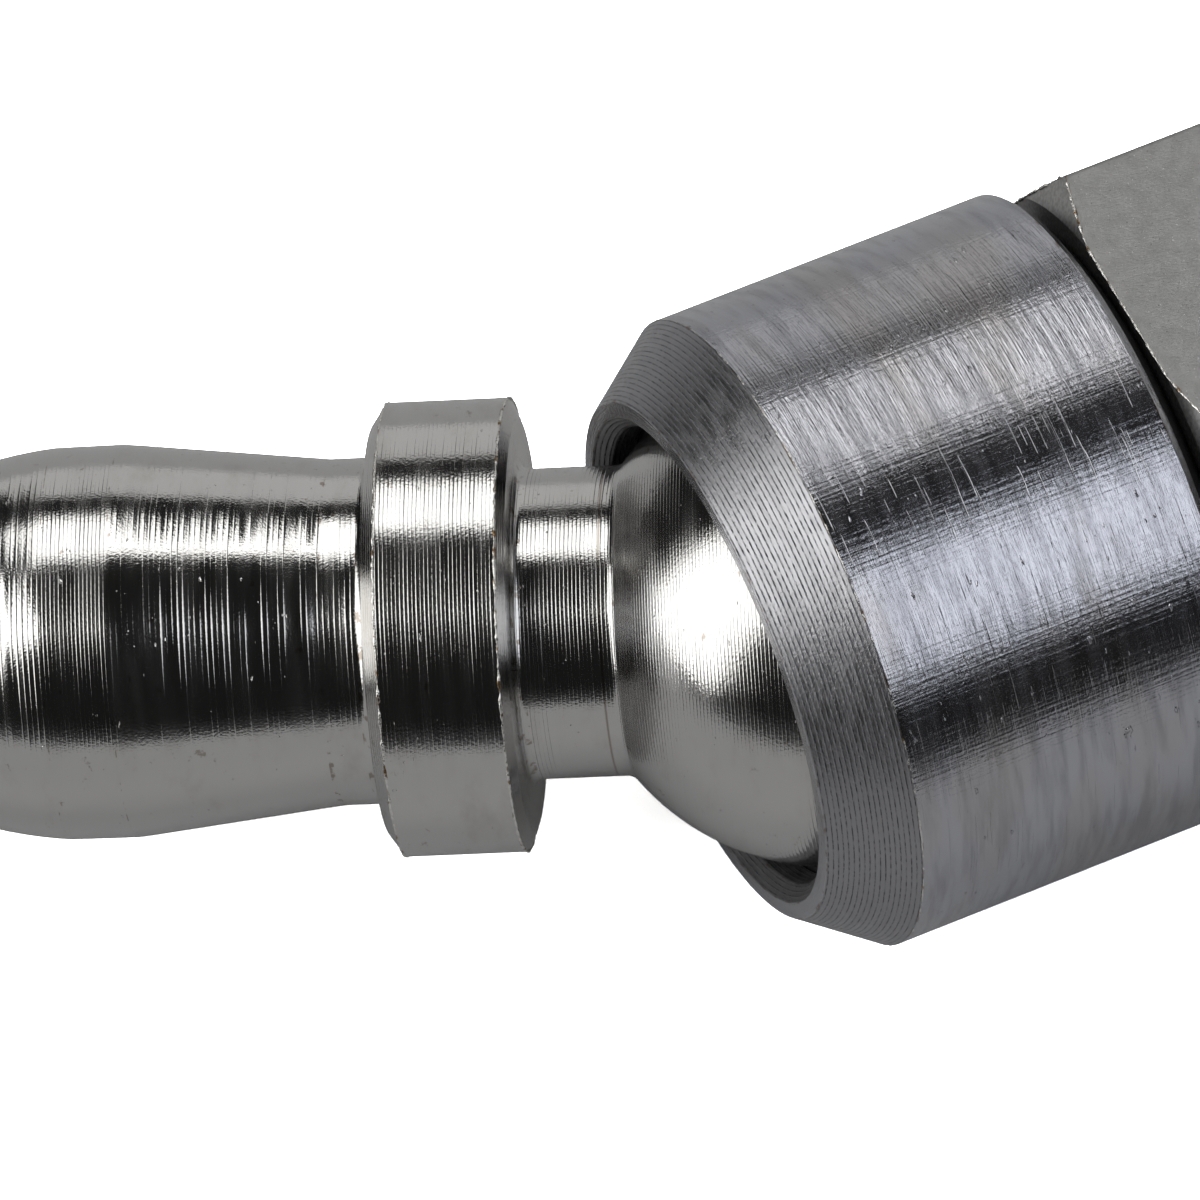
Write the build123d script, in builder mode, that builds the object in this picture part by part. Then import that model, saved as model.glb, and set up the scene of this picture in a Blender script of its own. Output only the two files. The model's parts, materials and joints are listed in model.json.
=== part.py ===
"""In-line ball joint rod end: a turned ball stem that swings in a screwed socket.

Millimetres. The origin is the centre of the hex body's rear shoulder, where the male
thread starts. +X runs along the body axis out through the thread, +Z is up and square to
one flat of the hex. The stem stands swung to one side, as it is left when put down.
"""
from math import acos, asin, atan2, cos, degrees, hypot, radians, sin, sqrt, tan
import os

from build123d import *

# --- ball and stem -------------------------------------------------------------------
ball_d = 15.6
air_bore_d = 4.5            # air way through the stem and the ball
bore_lead = 0.2             # chamfer at each end of the air way
neck_d = 9.5
neck_fillet = 0.45          # hollow where the neck runs into the ball
neck_len = 2.9              # end of that hollow to the collar's near face
collar_len = 4.4
collar_d = 13.9
collar_near_edge = (0.25, 0.65)  # chamfer towards the ball: along the axis, and across
collar_far_edge = (0.45, 0.65)
collar_root = 0.3           # small fillets at the collar's faces
waist_d = 10.6
bulge_d = 12.1              # shoulder that a quick coupler locks behind
waist_len = 1.4             # straight part of the waist, from the collar's far face
bulge_run = 8.7             # collar's far face to the bulge's crest
bulge_radius = 13.0         # arc of the crest, along the stem
nose_fall = 0.36            # step left for the straight slope between that arc and the nose
nose_d = 7.9
nose_len = 8.5
nose_edge = 0.8

# --- how the stem stands ---------------------------------------------------------------
rest_azimuth = -12.7        # degrees about +X, from +Y, to which side it has swung
rest_back_off = 0.5         # degrees short of the stop at which it rests

# --- fits ------------------------------------------------------------------------------
neck_clear = 0.043          # neck to the mouth's edge when the stem is at its stop
ball_fit = 0.05             # radial running clearance of the ball in its seats
liner_fit = 0.05            # clearance of the bearing ring in the sleeve
loose_fit = 0.1             # clearance of the spring in its pocket

# --- socket sleeve and front bearing ring ------------------------------------------------
liner_wall = 0.6            # bearing ring over the ball's equator
screw_step = 0.5            # radius step from the ring's bore up to the screw joint
sleeve_wall = 1.2           # sleeve over the screw joint
throat_lap = 0.35           # how far the throat closes in over the ball
mouth_depth = 4.25          # ball centre to the mouth's flat lip
mouth_bevel = 0.45          # 45 degree bevel inside the mouth
lip_width = 0.52
cone_len = 2.4              # outer cone, along the axis
flange = 1.25               # mouth thickness in front of the bearing ring
sleeve_back_edge = 0.25     # chamfer on the sleeve's rear edge

# --- rear seat, ball seal, washer and spring ---------------------------------------------
spigot_wall = 1.4           # body spigot around the seat
spigot_gap = 0.25           # spigot end to the nearest point of the seat's sphere
seat_rim = 0.35             # wall of the rear seat at its open rim
seal_section = 1.5
seal_contact = 47.6         # degrees round the ball from its back: the air way stays inside this
seal_gap = 0.05             # seal to the back of the seat
washer_thick = 0.6
washer_clear = 0.26         # washer's bore to the ball
spring_thick = 0.5
spring_height = 0.8         # disc spring as fitted
spring_clear = 0.47         # spring's bore to the ball

# --- hex body ----------------------------------------------------------------------------
web = 1.4                   # spring pocket's floor to the sleeve's rear edge
joint_gap = 0.55            # sleeve's rear edge to the hex
hex_af = 19.0
hex_len = 9.0
hex_corner_cut = 1.12       # how far the corner bevels cut in at the end faces
hex_bevel = 30.0
spigot_seal_section = 1.0
spigot_seal_cover = 0.25    # counterbore in the sleeve over that seal
port_bore_d = 5.5
port_thread_d = 13.157      # 1/4 inch parallel pipe thread, at its crests
port_thread_len = 12.0
port_thread_edge = 0.8
face_seal_section = 1.6
face_seal_land = 0.35       # thread to the face seal's groove
face_seal_proud = 0.35      # how far the face seal stands out of its groove

# --- worked out ----------------------------------------------------------------------------
ball_r = ball_d / 2
seat_r = ball_r + ball_fit
liner_r = seat_r + liner_wall
liner_bore_r = liner_r + liner_fit
screw_r = liner_bore_r + screw_step
sleeve_r = screw_r + sleeve_wall
throat_r = ball_r - throat_lap
lip_r = throat_r + mouth_bevel
liner_front = flange - mouth_depth
pocket_r = screw_r - spigot_wall
spigot_front = sqrt(seat_r**2 - pocket_r**2) + spigot_gap
liner_back = spigot_front - liner_fit
seat_front = sqrt(seat_r**2 - (pocket_r - seat_rim) ** 2)
seal_r = seal_section / 2
seal_ring_r = (seat_r + seal_r) * sin(radians(seal_contact))
seal_at = (seat_r + seal_r) * cos(radians(seal_contact))
seal_pocket_r = seal_ring_r + seal_r
seat_back = seal_at - seal_r - seal_gap
washer_front = seal_at + seal_r
washer_bore_r = sqrt((ball_r + washer_clear) ** 2 - washer_front**2)
spring_front = washer_front + washer_thick
spring_rise = spring_height - spring_thick
spring_bore_r = sqrt((ball_r + spring_clear) ** 2 - (spring_front + spring_rise) ** 2)
pocket_floor = spring_front + spring_height
sleeve_back = pocket_floor + web
hex_front = sleeve_back + joint_gap
spigot_groove_r = screw_r + spigot_seal_cover - spigot_seal_section
spigot_seal_at = hex_front - spigot_seal_section / 2
spigot_groove_front = hex_front - spigot_seal_section
hex_back = hex_front + hex_len
hex_corner_r = hex_af / 2 / cos(radians(30))
hex_face_r = hex_corner_r - hex_corner_cut
bevel_run = hex_corner_cut * tan(radians(hex_bevel))
port_r = port_thread_d / 2
neck_r = neck_d / 2
face_groove_in = port_r + face_seal_land
face_groove_out = face_groove_in + face_seal_section
face_groove_floor = hex_back - face_seal_section + face_seal_proud

# Body pieces are drawn on body_plane: x from the ball centre towards the thread, y outwards.
ball_centre = Vector(-hex_back, 0, 0)
body_plane = Plane(origin=ball_centre, x_dir=(1, 0, 0), z_dir=(0, -1, 0))

# The stem stops where its neck meets the front edge of the mouth's throat.
mouth_edge = (mouth_depth - mouth_bevel, throat_r)
neck_angle = asin((neck_r + neck_clear) / hypot(*mouth_edge))
swing_limit = degrees(atan2(mouth_edge[1], mouth_edge[0]) - neck_angle)
rest_swing = swing_limit - rest_back_off

# Stem pieces are drawn on stem_plane: x from the ball centre towards the nose, y outwards.
side = Vector(0, 1, 0).rotate(Axis.X, rest_azimuth)
swing_axis = Vector(-1, 0, 0).cross(side)
stem_dir = Vector(-1, 0, 0).rotate(Axis((0, 0, 0), swing_axis), rest_swing)
stem_axis = Axis(ball_centre, stem_dir)
stem_plane = Plane(origin=ball_centre, x_dir=stem_dir, z_dir=swing_axis)


def on_sphere(radius, station=None, outward=None):
    """Point of a sphere about the ball centre, at a station along the axis or at a radius."""
    if outward is None:
        return (station, sqrt(radius**2 - station**2))
    return (sqrt(radius**2 - outward**2), outward)


def sphere_arc(radius, start, end):
    """Arc of that sphere's outline between two of its points, drawn in the open BuildLine."""
    middle = Vector(*start) + Vector(*end)
    return ThreePointArc(start, tuple(middle.normalized() * radius)[:2], end)


def round_ring(station, ring_radius, section):
    """A rubber ring of round section, centred on the body axis."""
    with BuildPart() as ring:
        with BuildSketch(body_plane):
            with Locations((station, ring_radius)):
                Circle(section / 2)
        revolve(axis=Axis.X)
    return ring.part


# --- ball stem: bored ball, neck, collar, waist, bulge and nose, turned from one bar ---------
bore_r = air_bore_d / 2
lead_r = bore_r + bore_lead
# The hollow at the neck is an arc that touches the neck and the ball.
hollow_at = sqrt((ball_r + neck_fillet) ** 2 - (neck_r + neck_fillet) ** 2)
hollow_centre = Vector(hollow_at, neck_r + neck_fillet)
hollow_on_ball = hollow_centre.normalized() * ball_r
hollow_middle = hollow_centre - (hollow_centre.normalized() + Vector(0, 1)).normalized() * neck_fillet
ball_back = on_sphere(ball_r, outward=lead_r)
collar_r = collar_d / 2
collar_start = hollow_at + neck_len
collar_end = collar_start + collar_len
waist_r = waist_d / 2
waist_end = collar_end + waist_len
crest_at = collar_end + bulge_run
crest_centre = Vector(crest_at, bulge_d / 2 - bulge_radius)
nose_r = nose_d / 2


def crest_point(angle):
    """Point of the crest's arc, at an angle from its highest point towards the nose."""
    reach = Vector(sin(radians(angle)), cos(radians(angle))) * bulge_radius
    return tuple(crest_centre + reach)[:2]


# The slope up from the waist touches the crest's arc, and so does the one down to the nose.
to_waist = crest_centre - Vector(waist_end, waist_r)
waist_angle = degrees(asin(bulge_radius / to_waist.length) + atan2(to_waist.Y, to_waist.X))
nose_angle = degrees(acos((nose_r + nose_fall - crest_centre.Y) / bulge_radius))
crest_start = crest_point(-waist_angle)
crest_end = crest_point(nose_angle)
nose_start = crest_end[0] + nose_fall / tan(radians(nose_angle))
nose_end = nose_start + nose_len

with BuildPart() as ball_stem:
    with BuildSketch(stem_plane):
        with BuildLine():
            ThreePointArc((-ball_back[0], lead_r), (0, ball_r), tuple(hollow_on_ball)[:2])
            ThreePointArc(tuple(hollow_on_ball)[:2], tuple(hollow_middle)[:2], (hollow_at, neck_r))
            Polyline(
                (hollow_at, neck_r),
                (collar_start - collar_root, neck_r),
                (collar_start, neck_r + collar_root),
                (collar_start, collar_r - collar_near_edge[1]),
                (collar_start + collar_near_edge[0], collar_r),
                (collar_end - collar_far_edge[0], collar_r),
                (collar_end, collar_r - collar_far_edge[1]),
                (collar_end, waist_r + collar_root),
                (collar_end + collar_root, waist_r),
                (waist_end, waist_r),
                crest_start,
            )
            ThreePointArc(crest_start, crest_point((nose_angle - waist_angle) / 2), crest_end)
            Polyline(
                crest_end,
                (nose_start, nose_r),
                (nose_end - nose_edge, nose_r),
                (nose_end, nose_r - nose_edge),
                (nose_end, lead_r),
                (nose_end - bore_lead, bore_r),
                (bore_lead - ball_back[0], bore_r),
                (-ball_back[0], lead_r),
            )
        make_face()
    revolve(axis=stem_axis)
ball_stem.part.label = "ball_stem"

# --- front bearing ring: plastic liner that the ball bears forward on -------------------------
with BuildPart() as front_bearing_ring:
    ring_front = liner_front + liner_fit
    ring_mouth = on_sphere(seat_r, station=ring_front)
    with BuildSketch(body_plane):
        with BuildLine():
            sphere_arc(seat_r, ring_mouth, (0, seat_r))
            Polyline(
                (0, seat_r),
                (liner_back, seat_r),
                (liner_back, liner_r),
                (ring_front, liner_r),
                ring_mouth,
            )
        make_face()
    revolve(axis=Axis.X)
front_bearing_ring.part.label = "front_bearing_ring"

# --- socket sleeve: coned mouth that keeps the ball in, screwed onto the body ------------------
with BuildPart() as socket_sleeve:
    seal_cover_r = screw_r + spigot_seal_cover
    with BuildSketch(body_plane):
        with BuildLine():
            Polyline(
                (mouth_bevel - mouth_depth, throat_r),
                (-mouth_depth, lip_r),
                (-mouth_depth, lip_r + lip_width),
                (cone_len - mouth_depth, sleeve_r),
                (sleeve_back - sleeve_back_edge, sleeve_r),
                (sleeve_back, sleeve_r - sleeve_back_edge),
                (sleeve_back, seal_cover_r),
                (spigot_groove_front, seal_cover_r),
                (spigot_groove_front, screw_r),
                (liner_back, screw_r),
                (liner_back, liner_bore_r),
                (liner_front, liner_bore_r),
                (liner_front, throat_r),
                close=True,
            )
        make_face()
    revolve(axis=Axis.X)
socket_sleeve.part.label = "socket_sleeve"

# --- rear seat ring: plastic seat behind the ball, held in the body's spigot -------------------
with BuildPart() as rear_seat_ring:
    seat_mouth = on_sphere(seat_r, station=seat_front)
    seat_heel = on_sphere(seat_r, station=seat_back)
    with BuildSketch(body_plane):
        with BuildLine():
            sphere_arc(seat_r, seat_mouth, seat_heel)
            Polyline(
                seat_heel,
                (seat_back, pocket_r),
                (seat_front, pocket_r),
                seat_mouth,
            )
        make_face()
    revolve(axis=Axis.X)
rear_seat_ring.part.label = "rear_seat_ring"

# --- ball seal: rubber ring that rubs on the ball beyond the reach of its bore -----------------
ball_seal_ring = round_ring(seal_at, seal_ring_r, seal_section)
ball_seal_ring.label = "ball_seal_ring"

# --- backing washer and disc spring: they push the seal at the ball ------------------------------
with BuildPart() as backing_washer:
    with BuildSketch(Plane.YZ.offset(washer_front - hex_back)):
        Circle(seal_pocket_r)
        Circle(washer_bore_r, mode=Mode.SUBTRACT)
    extrude(amount=washer_thick)
backing_washer.part.label = "backing_washer"

with BuildPart() as disc_spring:
    spring_r = seal_pocket_r - loose_fit
    with BuildSketch(body_plane):
        with BuildLine():
            Polyline(
                (spring_front, spring_r),
                (spring_front + spring_thick, spring_r),
                (spring_front + spring_thick + spring_rise, spring_bore_r),
                (spring_front + spring_rise, spring_bore_r),
                close=True,
            )
        make_face()
    revolve(axis=Axis.X)
disc_spring.part.label = "disc_spring"

# --- hex body: screwed spigot with its pockets, hex, and the male thread to the line --------------
with BuildPart() as hex_body:
    with BuildSketch(Plane.YZ.offset(-hex_len)):
        RegularPolygon(radius=hex_af / 2, side_count=6, major_radius=False)
    extrude(amount=hex_len)
    # Corner bevels at both ends of the hex.
    with BuildSketch(body_plane):
        with BuildLine():
            Polyline(
                (hex_front, 0),
                (hex_front, hex_face_r),
                (hex_front + bevel_run, hex_corner_r),
                (hex_back - bevel_run, hex_corner_r),
                (hex_back, hex_face_r),
                (hex_back, 0),
                close=True,
            )
        make_face()
    revolve(axis=Axis.X, mode=Mode.INTERSECT)
    # Spigot with the groove of its seal.
    with BuildSketch(body_plane):
        with BuildLine():
            Polyline(
                (spigot_front, 0),
                (spigot_front, screw_r),
                (spigot_groove_front, screw_r),
                (spigot_groove_front, spigot_groove_r),
                (hex_front, spigot_groove_r),
                (hex_front, 0),
                close=True,
            )
        make_face()
    revolve(axis=Axis.X)
    # Male thread, as a plain cylinder over its crests.
    with BuildSketch(Plane.YZ):
        Circle(port_r)
    port_shank = extrude(amount=port_thread_len)
    chamfer(port_shank.edges().group_by(Axis.X)[-1], length=port_thread_edge)
    # Pockets for the seat, and for the seal, washer and spring, then the air way.
    with BuildSketch(Plane.YZ.offset(spigot_front - hex_back)):
        Circle(pocket_r)
    extrude(amount=seat_back - spigot_front, mode=Mode.SUBTRACT)
    with BuildSketch(Plane.YZ.offset(seat_back - hex_back)):
        Circle(seal_pocket_r)
    extrude(amount=pocket_floor - seat_back, mode=Mode.SUBTRACT)
    with BuildSketch(Plane.YZ.offset(pocket_floor - hex_back)):
        Circle(port_bore_d / 2)
    extrude(amount=hex_back - pocket_floor + port_thread_len, mode=Mode.SUBTRACT)
    # Groove of the face seal round the thread.
    with BuildSketch(Plane.YZ.offset(face_groove_floor - hex_back)):
        Circle(face_groove_out)
        Circle(face_groove_in, mode=Mode.SUBTRACT)
    extrude(amount=hex_back - face_groove_floor, mode=Mode.SUBTRACT)
hex_body.part.label = "hex_body"

# --- static seals -----------------------------------------------------------------------------------
spigot_seal_r = spigot_groove_r + spigot_seal_section / 2
spigot_o_ring = round_ring(spigot_seal_at, spigot_seal_r, spigot_seal_section)
spigot_o_ring.label = "spigot_o_ring"

face_seal_r = (face_groove_in + face_groove_out) / 2
face_seal_at = face_groove_floor + face_seal_section / 2
thread_seal_ring = round_ring(face_seal_at, face_seal_r, face_seal_section)
thread_seal_ring.label = "thread_seal_ring"

os.makedirs("parts", exist_ok=True)
for piece in (
    ball_stem.part,
    front_bearing_ring.part,
    socket_sleeve.part,
    rear_seat_ring.part,
    ball_seal_ring,
    backing_washer.part,
    disc_spring.part,
    hex_body.part,
    spigot_o_ring,
    thread_seal_ring,
):
    export_step(piece, f"parts/{piece.label}.step")
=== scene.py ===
"""In-line ball joint rod end: bright turned ball stem, scuffed socket sleeve and dull hex body,
lying on a pale sheet under soft boxes."""
import json
from math import asin, atan2, cos, degrees, hypot, pi, radians, sin, sqrt, tan

import bpy
from mathutils import Matrix, Vector


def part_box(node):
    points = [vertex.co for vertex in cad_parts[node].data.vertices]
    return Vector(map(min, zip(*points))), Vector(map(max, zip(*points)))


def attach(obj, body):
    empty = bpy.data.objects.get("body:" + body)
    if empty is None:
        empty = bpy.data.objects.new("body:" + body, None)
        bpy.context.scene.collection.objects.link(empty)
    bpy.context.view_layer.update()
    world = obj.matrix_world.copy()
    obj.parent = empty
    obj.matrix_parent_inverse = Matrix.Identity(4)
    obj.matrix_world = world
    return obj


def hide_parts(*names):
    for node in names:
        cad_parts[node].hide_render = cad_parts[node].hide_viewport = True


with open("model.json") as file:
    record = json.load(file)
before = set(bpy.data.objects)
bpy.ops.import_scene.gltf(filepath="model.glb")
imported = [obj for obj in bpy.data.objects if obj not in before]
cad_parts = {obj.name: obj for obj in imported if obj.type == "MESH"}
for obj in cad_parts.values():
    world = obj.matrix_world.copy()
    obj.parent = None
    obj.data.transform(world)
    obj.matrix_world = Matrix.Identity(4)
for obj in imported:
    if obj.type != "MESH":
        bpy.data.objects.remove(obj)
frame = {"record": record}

MM = 0.001
UP = Vector((0, 0, 1))
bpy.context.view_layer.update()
mounts = {mount["name"]: mount for mount in frame["record"]["mounts"]}
joints = {joint["name"]: joint for joint in frame["record"]["behaviour"]["joints"]}


# --- outlines and the meshes spun from them ---------------------------------------------------
# A corner is (station along the axis, radius, ease of the corner, finish of the stretch after it),
# in millimetres. A point is (station, radius, edge mark, finish).
def arc(centre, radius, start, end, steps, finish=0):
    """Corners along an arc between two angles in degrees."""
    angles = [radians(start + (end - start) * i / steps) for i in range(steps + 1)]
    return [(centre[0] + radius * cos(a), centre[1] + radius * sin(a), 0, finish) for a in angles]


def unit(x, y):
    length = hypot(x, y)
    return x / length, y / length


def ease_corner(before, corner, after, steps=5, hold=0.04):
    """Replaces a sharp corner by a small arc, marked as an edge, held by a point on each side."""
    x, r, ease, finish = corner
    if ease == 0:
        return [(x, r, 0.0, finish)]
    ax, ar = unit(before[0] - x, before[1] - r)
    bx, br = unit(after[0] - x, after[1] - r)
    half = atan2(abs(ax * br - ar * bx), ax * bx + ar * br) / 2
    room = 0.45 * min(hypot(before[0] - x, before[1] - r), hypot(after[0] - x, after[1] - r))
    reach = min(ease / tan(half), 0.9 * room)
    held = min(reach + hold, room)
    size = reach * tan(half)
    mx, mr = unit(ax + bx, ar + br)
    cx, cr = x + mx * size / sin(half), r + mr * size / sin(half)
    first = (x + ax * reach - cx, r + ar * reach - cr)
    last = (x + bx * reach - cx, r + br * reach - cr)
    points = [(x + ax * held, r + ar * held, 0.0, before[3])]
    for i in range(steps + 1):
        t = i / steps
        px, pr = unit(first[0] * (1 - t) + last[0] * t, first[1] * (1 - t) + last[1] * t)
        points.append((cx + px * size, cr + pr * size, 1.0, before[3] if t < 0.5 else finish))
    return points + [(x + bx * held, r + br * held, 0.0, finish)]


def eased(corners):
    """A closed outline with its corners eased."""
    points = []
    for i, corner in enumerate(corners):
        points += ease_corner(corners[i - 1], corner, corners[(i + 1) % len(corners)])
    return points


def volume_of(mesh):
    """Signed volume, which is negative when the faces point inwards."""
    total = 0.0
    for face in mesh.polygons:
        a, b, c, d = (mesh.vertices[i].co for i in face.vertices)
        total += a.dot(b.cross(c)) + a.dot(c.cross(d))
    return total / 6


def spun(name, outline_at, angles, place, finishes):
    """A closed ring of outlines, one at each angle. The UV map "turned" holds millimetres along the
    outline and turns round the axis; "turned_at" holds station and radius; "edge" marks corners."""
    outlines = [outline_at(angle) for angle in angles]
    count, turns = len(outlines[0]), len(angles)
    points = [point for outline in outlines for point in outline]
    verts = [place(x * MM, r * MM, angles[i // count]) for i, (x, r, _, _) in enumerate(points)]
    along = [0.0]
    for i, (x, r, _, _) in enumerate(outlines[0]):
        nx, nr, _, _ = outlines[0][(i + 1) % count]
        along.append(along[-1] + hypot(nx - x, nr - r))
    rounds = [angle / (2 * pi) for angle in angles] + [1 + angles[0] / (2 * pi)]
    faces, uvs = [], []
    for t in range(turns):
        here, there = t * count, (t + 1) % turns * count
        for i in range(count):
            j = (i + 1) % count
            faces.append((here + i, here + j, there + j, there + i))
            uvs += [along[i], rounds[t], along[i + 1], rounds[t],
                    along[i + 1], rounds[t + 1], along[i], rounds[t + 1]]
    mesh = bpy.data.meshes.new(name)
    mesh.from_pydata(verts, [], faces)
    mesh.uv_layers.new(name="turned").data.foreach_set("uv", uvs)
    at = mesh.attributes.new("turned_at", "FLOAT_VECTOR", "POINT")
    at.data.foreach_set("vector", [value for x, r, _, _ in points for value in (x, r, 0.0)])
    edge = mesh.attributes.new("edge", "FLOAT", "POINT")
    edge.data.foreach_set("value", [point[2] for point in points])
    for finish in finishes:
        mesh.materials.append(finish)
    mesh.polygons.foreach_set("material_index", [points[f % count][3] for f in range(len(faces))])
    mesh.polygons.foreach_set("use_smooth", [True] * len(faces))
    if volume_of(mesh) < 0:
        mesh.flip_normals()
    mesh.update()
    return in_scene(name, mesh)


def in_scene(name, data):
    made = bpy.data.objects.new(name, data)
    bpy.context.collection.objects.link(made)
    return made


def placer(centre, along, side):
    """Gives the place of (station, radius, angle) about an axis; angle 0 is on that side of it."""
    over = along.cross(side)

    def place(x, r, angle):
        return centre + along * x + (side * cos(angle) + over * sin(angle)) * r

    return place


def even_turns(count):
    return [2 * pi * i / count for i in range(count)]


# --- node trees -------------------------------------------------------------------------------
def srgb(code):
    """A hex colour as linear RGBA."""
    values = [int(code[i:i + 2], 16) / 255 for i in (1, 3, 5)]
    return [v / 12.92 if v <= 0.04045 else ((v + 0.055) / 1.055) ** 2.4 for v in values] + [1.0]


def add(tree, kind, settings=None, **inputs):
    """Adds a node with its settings, and sets or links its inputs; n1 is the input with index 1."""
    made = tree.nodes.new(kind)
    for key, value in (settings or {}).items():
        setattr(made, key, value)
    for key, value in inputs.items():
        numbered = key[0] == "n" and key[1:].isdigit()
        socket = made.inputs[int(key[1:])] if numbered else made.inputs[key.replace("_", " ")]
        if isinstance(value, bpy.types.NodeSocket):
            tree.links.new(value, socket)
        else:
            socket.default_value = value
    return made


def maths(tree, operation, *values):
    inputs = {f"n{i}": value for i, value in enumerate(values)}
    return add(tree, "ShaderNodeMath", {"operation": operation}, **inputs).outputs[0]


def total(tree, *values):
    result = values[0]
    for value in values[1:]:
        result = maths(tree, "ADD", result, value)
    return result


def product(tree, *values):
    result = values[0]
    for value in values[1:]:
        result = maths(tree, "MULTIPLY", result, value)
    return result


def ramp(tree, value, low, high, start=0.0, end=1.0):
    """Runs from start to end as the value goes from low to high, with soft ends."""
    return add(tree, "ShaderNodeMapRange", {"interpolation_type": "SMOOTHSTEP"},
               n0=value, n1=low, n2=high, n3=start, n4=end).outputs[0]


def band(tree, value, low, high, soft):
    """1 where the value lies between low and high."""
    return product(tree, ramp(tree, value, low - soft, low + soft),
                   ramp(tree, value, high - soft, high + soft, 1.0, 0.0))


def mixed(tree, factor, under, over):
    """One colour over another, as far as a factor says."""
    settings = {"data_type": "RGBA"}
    return add(tree, "ShaderNodeMix", settings, n0=factor, n6=under, n7=over).outputs[2]


def scaled(tree, vector, factor):
    """A vector times a number."""
    return add(tree, "ShaderNodeVectorMath", {"operation": "SCALE"}, n0=vector,
               Scale=factor).outputs[0]


def bump(tree, height):
    """Bends the surface by a height in millimetres."""
    return add(tree, "ShaderNodeBump", Strength=1.0, Distance=MM, Height=height).outputs[0]


def new_material(name):
    material = bpy.data.materials.new(name)
    material.use_nodes = True
    material.node_tree.nodes.clear()
    return material, material.node_tree


def close_material(tree, colour, metallic, rough, height):
    """Ends a tree in one Principled shader, with the surface bent by a height in millimetres."""
    shader = add(tree, "ShaderNodeBsdfPrincipled", Base_Color=colour, Metallic=metallic,
                 Roughness=rough, Normal=bump(tree, height))
    add(tree, "ShaderNodeOutputMaterial", Surface=shader.outputs[0])


def grain_noise(tree, where, step_mm, detail):
    """Noise on Object coordinates with steps of a size in millimetres."""
    return add(tree, "ShaderNodeTexNoise", Vector=where, Scale=1 / (step_mm * MM),
               Detail=detail).outputs[0]


class Turned:
    """What a turned surface knows of itself: millimetres along its outline, the angle round its
    axis, its station on the axis and how near an edge it is."""

    def __init__(self, tree):
        self.tree = tree
        uv = add(tree, "ShaderNodeUVMap", {"uv_map": "turned"}).outputs[0]
        parts = add(tree, "ShaderNodeSeparateXYZ", Vector=uv)
        self.along = parts.outputs[0]
        angle = maths(tree, "MULTIPLY", parts.outputs[1], 2 * pi)
        self.cos, self.sin = maths(tree, "COSINE", angle), maths(tree, "SINE", angle)
        at = add(tree, "ShaderNodeAttribute", {"attribute_name": "turned_at"}).outputs["Vector"]
        self.station = add(tree, "ShaderNodeSeparateXYZ", Vector=at).outputs[0]
        self.edge = add(tree, "ShaderNodeAttribute", {"attribute_name": "edge"}).outputs["Fac"]

    def noise(self, step, round_steps, detail=2.0, rough=0.5):
        """Noise with one step for each step (mm) along, and round_steps round the axis."""
        reach = round_steps / (2 * pi)
        tree = self.tree
        where = add(tree, "ShaderNodeCombineXYZ", X=maths(tree, "DIVIDE", self.along, step),
                    Y=maths(tree, "MULTIPLY", self.cos, reach),
                    Z=maths(tree, "MULTIPLY", self.sin, reach)).outputs[0]
        return add(tree, "ShaderNodeTexNoise", Vector=where, Scale=1.0, Detail=detail,
                   Roughness=rough).outputs[0]

    def stained(self, colour, spots_low, spots_high, edge_from, strength, stain):
        """Stains a colour in spots along the edges."""
        spots = ramp(self.tree, self.noise(0.3, 90.0, 3.0), spots_low, spots_high)
        near = ramp(self.tree, self.edge, edge_from, 1.0, 0.0, strength)
        return mixed(self.tree, product(self.tree, spots, near), colour, srgb(stain))

    def tool_rings(self, pitch, slope, wander=0.02):
        """Height of the rings that a tool leaves: shallow hollows with steep, thin crests between.
        slope is how steep the crests get."""
        tree = self.tree
        drift = product(tree, self.noise(0.6, 3.0), wander * 2)
        turn = maths(tree, "FRACT", maths(tree, "DIVIDE", total(tree, self.along, drift), pitch))
        across = maths(tree, "MULTIPLY_ADD", turn, 2.0, -1.0)
        square = product(tree, across, across)
        return product(tree, square, square, slope * pitch / 8)


# --- finishes ---------------------------------------------------------------------------------
# Heights, steps and pitches are in millimetres. A ramp's limits on a noise say how much of the
# surface it covers.
BROWN, RUST = "#6E573A", "#7A5F3A"
hairline = 0.03


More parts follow.
